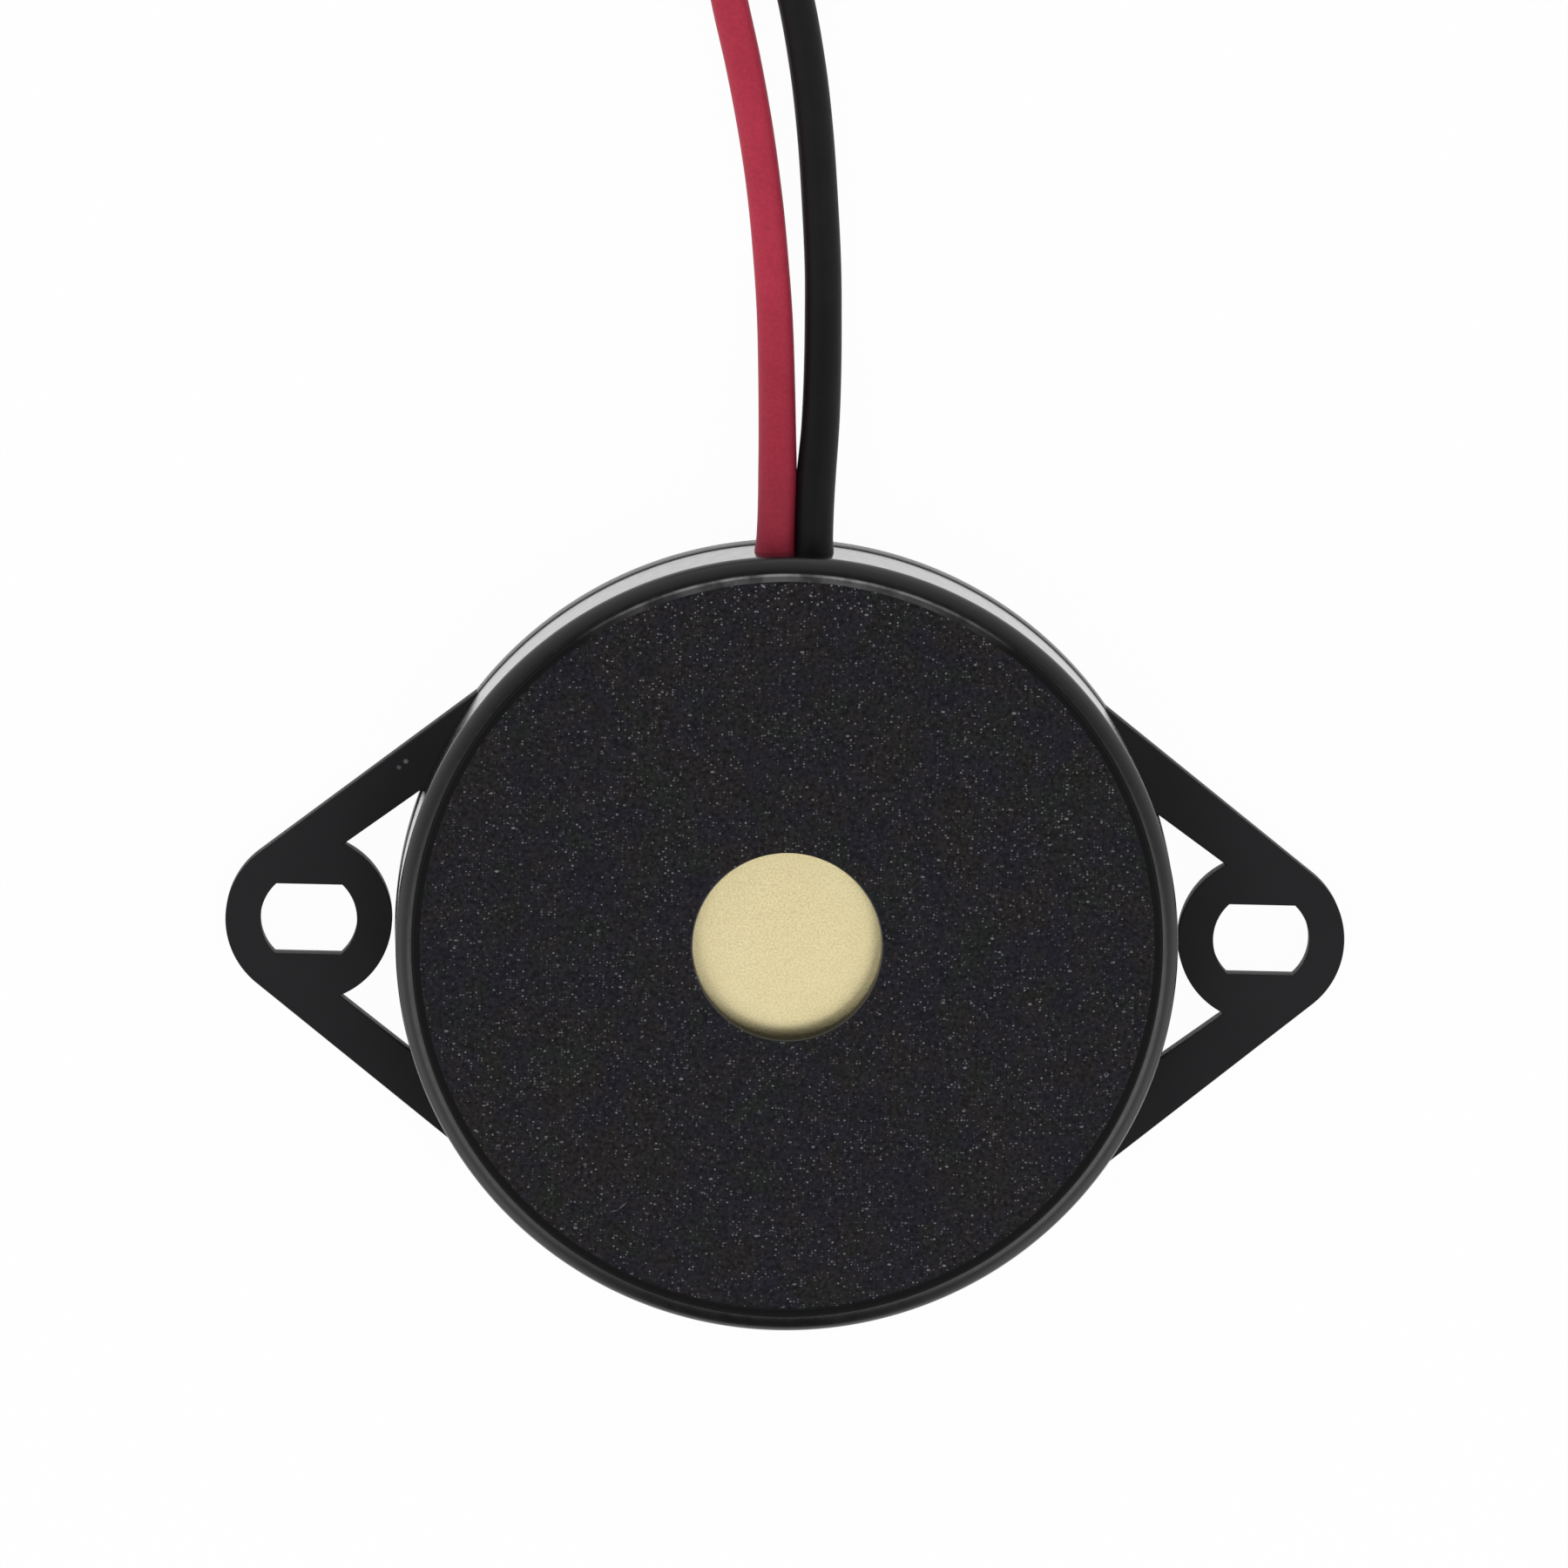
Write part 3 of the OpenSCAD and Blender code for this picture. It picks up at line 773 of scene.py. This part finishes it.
def plate_loops():
    """Outer outline of ring and ears (counter-clockwise) and the openings in the plate (clockwise)."""
    arms = {place: arm_corners(*shape) for place, shape in ARMS.items()}
    end = {place: angle_of(corners[1]) for place, corners in arms.items()}
    start = ARM_ANGLE + math.pi / 2
    eye_outer = arc(LEFT_EYE, EYE_R, start, 2 * math.pi - start)
    outer = join_loops([
        arc((0, 0), CASE_R, math.pi - end["right", "upper"], end["left", "upper"]), eye_outer,
        arc((0, 0), CASE_R, 2 * math.pi - end["left", "lower"], math.pi + end["right", "lower"]), -eye_outer,
    ])
    gaps = [ear_gap(arms["left", "upper"], arms["left", "lower"]),
            ear_gap(arms["right", "upper"], arms["right", "lower"]) * [-1, 1]]
    corner = math.asin(EAR_FLAT / EAR_HOLE_R)
    hole = clockwise(join_loops([arc((0, 0), EAR_HOLE_R, corner, -corner),
                                 arc((0, 0), EAR_HOLE_R, math.pi + corner, math.pi - corner)]))
    return outer, [clockwise(gap) for gap in gaps] + [hole + LEFT_EYE, hole - LEFT_EYE]


def inward(loop):
    """At each point of a loop, the step that moves both its sides by one to the left, into the material."""
    before = loop - np.roll(loop, 1, 0)
    after = np.roll(loop, -1, 0) - loop
    n1 = np.stack([-before[:, 1], before[:, 0]], -1) / np.linalg.norm(before, axis=1)[:, None]
    n2 = np.stack([-after[:, 1], after[:, 0]], -1) / np.linalg.norm(after, axis=1)[:, None]
    total = n1 + n2
    sharpest = 0.3
    return 2 * total / np.maximum(np.sum(total * total, axis=1), sharpest)[:, None]


def edge_profile():
    """The rounded edge between wall and rim: a quarter of an ellipse, up to where the first ridge begins."""
    turns = np.linspace(0, EDGE_TOP, 27)
    return [(RIM_R + EDGE_WIDE * math.cos(t), RIM_Z - EDGE_DEEP * (1 - math.sin(t)),
             EDGE if degrees < EDGE_GLOSSY else RIM) for degrees, t in zip(turns, np.radians(turns))]


def ridge(r, zone, half, high):
    """A fine ridge round the rim: half a wave, so wide each side of r and so high, and the rim beyond it."""
    wave = [(r + half * math.cos(t), RIM_Z + high * math.sin(t), zone) for t in np.linspace(0, math.pi, 7)]
    return wave + [(r - half - 0.001, RIM_Z, RIM)]


def hole_edge():
    """The rounded edge of the sound hole: a quarter circle from the face to the hole's wall."""
    turns = np.radians(np.linspace(90, 180, len(HOLE_ZONES)))
    return [(HOLE_R + HOLE_EDGE + HOLE_EDGE * math.cos(t), CASE_H - HOLE_EDGE + HOLE_EDGE * math.sin(t), zone)
            for t, zone in zip(turns, HOLE_ZONES)]


def cup_profile():
    """(r, z, zone) from the foot of the wall, over the edge and the face, into the hole and down the bore."""
    wall_h, ceiling = RIM_Z - EDGE_DEEP - BASE_T, CASE_H - FRONT_T
    rows = [(WALL_R - WALL_DRAFT * t, BASE_T + wall_h * t, GLOSS) for t in np.linspace(0, 0.97, 12)]
    rows += edge_profile()
    for one in RIDGES:
        rows += ridge(*one)
    # The step up to the face, and two rows on it that keep its shade even.
    rows += [(FACE_R + 0.03, RIM_Z, FACE), (FACE_R + 0.01, RIM_Z + 0.01, FACE),
             (FACE_R - 0.03, CASE_H - 0.01, FACE), (FACE_R - 0.06, CASE_H, FACE),
             (FACE_R - 1.0, CASE_H, FACE), (HOLE_R + 2.0, CASE_H, FACE)]
    rows += hole_edge()
    rows += [(HOLE_R, ceiling, RIM), (CHAMBER_R, ceiling, RIM), (CHAMBER_R, DISC_Z, RIM),
             (BORE_R, DISC_Z, RIM), (BORE_R, SEAT_Z, RIM), (SEAT_R, SEAT_Z, RIM), (SEAT_R, 0.0, RIM)]
    return np.array([row[:2] for row in rows]), [row[2] for row in rows]


def flat_region(outer, openings, z, face_up):
    """Triangles that fill the space between loops at one height, by constrained Delaunay."""
    edges, base = [], 0
    for loop in [outer] + openings:
        n = len(loop)
        edges += [(base + i, base + (i + 1) % n) for i in range(n)]
        base += n
    made = delaunay_2d_cdt([Vector(p) for p in np.vstack([outer] + openings)], edges, [], 0, SAME_POINT / 100)
    points, triangles = np.array([tuple(p) for p in made[0]]), np.array(made[2])
    middle = points[triangles].mean(axis=1)
    inside = in_loop(middle, outer)
    for loop in openings:
        inside &= ~in_loop(middle, loop)
    triangles = triangles[inside]
    if not face_up:
        triangles = triangles[:, ::-1]
    return np.column_stack([points, np.full(len(points), z)]), triangles


def in_loop(points, loop):
    """Whether each point is inside a loop, by counting the sides that a ray along +X crosses."""
    x, y = points[:, 0][:, None], points[:, 1][:, None]
    x1, y1 = loop[:, 0][None], loop[:, 1][None]
    x2, y2 = np.roll(loop[:, 0], -1)[None], np.roll(loop[:, 1], -1)[None]
    spans = (y1 > y) != (y2 > y)
    with np.errstate(divide="ignore", invalid="ignore"):
        cross = x1 + (y - y1) * (x2 - x1) / (y2 - y1)
    return (np.sum(spans & (x < cross), axis=1) % 2) == 1


def on_ring(loop):
    """Which points of a loop lie on the ring round the case."""
    return np.isclose(np.linalg.norm(loop, axis=1), CASE_R, rtol=0, atol=0.001)


def plate_side(loop):
    """The side of the plate along one loop: the loop moved in by height, further on the ring's top edge."""
    ring = on_ring(loop)
    wide, deep = np.where(ring, RING_EDGE, SOFT_EDGE), np.where(ring, RING_DEEP, SOFT_EDGE)
    turn = np.linspace(0, math.pi / 2, 4)[:, None]
    even = np.ones(len(loop))
    inset = np.vstack([SOFT_EDGE * (1 - np.sin(turn)) * even, wide * (1 - np.cos(turn))])
    z = np.vstack([SOFT_EDGE * (1 - np.cos(turn)) * even, BASE_T - deep * (1 - np.sin(turn))])
    rings = loop[None] + inset[..., None] * inward(loop)[None]
    zones = np.where(ring & np.roll(ring, -1), RING, SIDE)
    return (np.concatenate([rings, z[..., None]], -1).reshape(-1, 3), grid_faces(len(z), len(loop)),
            np.tile(zones, len(z) - 1))


def merge_parts(parts):
    """One list of points and faces from several, with points that coincide made one."""
    points, faces, zones, base = [], [], [], 0
    for part_points, part_faces, zone in parts:
        points.append(part_points)
        faces += [tuple(int(i) + base for i in f) for f in part_faces]
        zones += list(zone) if hasattr(zone, "__len__") else [zone] * len(part_faces)
        base += len(part_points)
    points = np.vstack(points)
    key = np.round(points / SAME_POINT).astype(np.int64)
    _, first, back = np.unique(key, axis=0, return_index=True, return_inverse=True)
    back = back.reshape(-1)
    clean_faces, clean_zones = [], []
    for face, zone in zip(faces, zones):
        ids = [int(back[i]) for i in face]
        ids = [v for i, v in enumerate(ids) if v != ids[i - 1]]
        if len(ids) > 2:
            clean_faces.append(ids)
            clean_zones.append(zone)
    return points[first], clean_faces, clean_zones


def circle_loop(radius):
    """The points of the round case in plan, at a radius."""
    a = np.arange(ROUND) * ARC_STEP
    return np.stack([radius * np.cos(a), radius * np.sin(a)], -1)


def case_parts():
    """Cup, plate sides and the flat top and bottom of the plate, which share their edge points."""
    profile, profile_zones = cup_profile()
    plan = profile[:, 0][:, None, None] * circle_loop(1.0)[None]
    z = np.broadcast_to(profile[:, 1][:, None, None], (len(profile), ROUND, 1))
    cup = np.concatenate([plan, z], -1).reshape(-1, 3)
    parts = [(cup, grid_faces(len(profile), ROUND), np.repeat(profile_zones[:-1], ROUND))]
    outer, openings = plate_loops()
    loops = [outer] + openings
    parts += [plate_side(loop) for loop in loops]
    upper = [loop + np.where(on_ring(loop), RING_EDGE, SOFT_EDGE)[:, None] * inward(loop) for loop in loops]
    lower = [loop + SOFT_EDGE * inward(loop) for loop in loops]
    parts.append((*flat_region(upper[0], upper[1:] + [circle_loop(WALL_R)], BASE_T, True), EAR))
    parts.append((*flat_region(lower[0], lower[1:] + [circle_loop(SEAT_R)], 0.0, False), EAR))
    return merge_parts(parts)


def slot_cutter():
    """The slot for both leads: two half circles joined by flats, as a prism along +Y."""
    r = LEAD_R + LEAD_FIT
    right = arc((BLACK_X, LEAD_Z), r, -math.pi / 2, math.pi / 2)
    left = arc((RED_X, LEAD_Z), r, math.pi / 2, 3 * math.pi / 2)
    loop = join_loops([right, left])
    n = len(loop)
    past = 1.0
    front = np.column_stack([loop[:, 0], np.full(n, BORE_R - past), loop[:, 1]])
    back = front + [0.0, WALL_R - BORE_R + 2 * past, 0.0]
    faces = [tuple(f)[::-1] for f in grid_faces(2, n)] + [tuple(range(n)), tuple(range(n, 2 * n))[::-1]]
    return np.vstack([front, back]), faces


def cut_slot(piece):
    """Cuts the slot through the wall and keeps the result as the piece's own mesh."""
    cutter = put_mesh("slot_cutter", *slot_cutter(), [CASE_GLOSS])
    cut = piece.modifiers.new("lead_slot", "BOOLEAN")
    cut.operation, cut.solver, cut.object = "DIFFERENCE", "EXACT", cutter
    bpy.context.view_layer.update()
    graph = bpy.context.evaluated_depsgraph_get()
    made = bpy.data.meshes.new_from_object(piece.evaluated_get(graph))
    piece.modifiers.clear()
    old = piece.data
    piece.data = made
    made.name = piece.name
    bpy.data.meshes.remove(old)
    bpy.data.objects.remove(cutter)
    clean_slivers(made)
    mark_sharp(made, SMOOTH_ANGLE)


def clean_slivers(mesh):
    """Merges points that lie very close and drops the slivers that the cut leaves."""
    shape = bmesh.new()
    shape.from_mesh(mesh)
    bmesh.ops.remove_doubles(shape, verts=shape.verts, dist=SLIVER * MM)
    bmesh.ops.dissolve_degenerate(shape, edges=shape.edges, dist=SLIVER / 4 * MM)
    shape.to_mesh(mesh)
    shape.free()


def make_case():
    """The moulded case with its ears, in place of the frame's housing."""
    points, faces, zones = case_parts()
    piece = put_mesh("case", points, faces, CASE_FINISHES, zones)
    cut_slot(piece)
    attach(piece, "root")
    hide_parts("housing")


make_case()


# ---------------------------------------------------------------- finishes of the frame's own nodes

NODE_FINISH = {
    "back_cover": EAR_BLACK, "brass_disc": BRASS, "piezo_ceramic": SILVERED, "disc_adhesive": ADHESIVE,
    "lead_glue": ADHESIVE, "red_solder": SOLDER, "black_solder": SOLDER,
    "red_inner_strand": SOLDER, "black_inner_strand": SOLDER,
}
for node, material in NODE_FINISH.items():
    mesh = frame["nodes"][node].data
    mesh.materials.clear()
    mesh.materials.append(material)


# ---------------------------------------------------------------- floor, lamps and surroundings

# In millimetres: half the floor's width, and its height, a hair below the leads.
FLOOR_HALF, FLOOR_Z = 600.0, -0.02
# How much of the floor's own white the camera sees; the rest is lit.
FLOOR_GLOW = 0.97
# Of each lamp: degrees from straight overhead, distance and width in metres.
LAMP_LEAN, LAMP_FAR, LAMP_SIZE = 26, 0.6, 0.28
# Just over 1, so that nothing is divided by zero straight overhead.
NEAR_ONE = 1.0001


def mix_shaders(tree, share, first, second, end):
    """Feeds an output node with two shaders; share is how much of the second is in it."""
    mix = tree.nodes.new("ShaderNodeMixShader")
    for value, slot in zip((share, first, second), mix.inputs):
        link(tree, value, slot)
    link(tree, mix.outputs["Shader"], tree.nodes[end].inputs["Surface"])


def make_floor():
    """A pale floor that looks white to the camera and in reflections, and keeps a soft shadow."""
    corners = [(x * FLOOR_HALF, y * FLOOR_HALF, FLOOR_Z) for x, y in ((-1, -1), (1, -1), (1, 1), (-1, 1))]
    material, tree, shader = new_material("floor_white")
    shader.inputs["Base Color"].default_value = (0.95, 0.95, 0.95, 1)
    shader.inputs["Roughness"].default_value = 0.9
    shader.inputs["Specular IOR Level"].default_value = 0.1
    glow = tree.nodes.new("ShaderNodeEmission")
    glow.inputs["Strength"].default_value = 1.0
    path = tree.nodes.new("ShaderNodeLightPath")
    seen = math_node(tree, "MAXIMUM", path.outputs["Is Camera Ray"], path.outputs["Is Glossy Ray"])
    share = math_node(tree, "MULTIPLY", seen, FLOOR_GLOW)
    mix_shaders(tree, share, shader.outputs["BSDF"], glow.outputs["Emission"], "Material Output")
    put_mesh("floor", corners, [(0, 1, 2, 3)], [material])


def make_lamp(name, side, power):
    """A square area lamp above the case; side is its bearing from +X, in degrees."""
    data = bpy.data.lights.new(name, "AREA")
    data.shape, data.size, data.energy = "SQUARE", LAMP_SIZE, power
    lamp = bpy.data.objects.new(name, data)
    a, b = math.radians(side), math.radians(LAMP_LEAN)
    back = Vector((math.sin(b) * math.cos(a), math.sin(b) * math.sin(a), math.cos(b)))
    lamp.location = back * LAMP_FAR
    lamp.rotation_mode = "QUATERNION"
    lamp.rotation_quaternion = back.to_track_quat("Z", "Y")
    bpy.context.scene.collection.objects.link(lamp)


def light_strength(tree):
    """Strength by direction: most by the table, less overhead, more on the lamps' side, a gap towards -Y."""
    place = tree.nodes.new("ShaderNodeTexCoord")
    parts = tree.nodes.new("ShaderNodeSeparateXYZ")
    link(tree, place.outputs["Generated"], parts.inputs["Vector"])
    height = parts.outputs["Z"]
    across = math_node(tree, "SQRT", math_node(tree, "SUBTRACT", NEAR_ONE, product(tree, height, height)))
    bearing = math_node(tree, "DIVIDE", parts.outputs["Y"], across)
    return product(
        tree,
        ramp(tree, height, 0.0, 1.0, 1.12, 0.375),
        product(tree, ramp(tree, bearing, -0.98, -0.84, 0.06, 1.0), ramp(tree, bearing, -0.3, 0.1, 1.5, 1.0)),
        ramp(tree, height, 0.88, 0.97, 1.0, 0.25),
    )


def make_world():
    """White to the camera; as light it changes with direction."""
    world = bpy.data.worlds.new("surroundings")
    bpy.context.scene.world = world
    world.use_nodes = True
    tree = world.node_tree
    light = tree.nodes["Background"]
    link(tree, light_strength(tree), light.inputs["Strength"])
    white = tree.nodes.new("ShaderNodeBackground")
    for background in (light, white):
        background.inputs["Color"].default_value = (1, 1, 1, 1)
    white.inputs["Strength"].default_value = 1.0
    seen = tree.nodes.new("ShaderNodeLightPath").outputs["Is Camera Ray"]
    mix_shaders(tree, seen, light.outputs["Background"], white.outputs["Background"], "World Output")


make_floor()
make_lamp("key", -44, 0.53)
make_lamp("second", -138, 0.39)
make_world()
bpy.context.scene.view_settings.view_transform = "Standard"
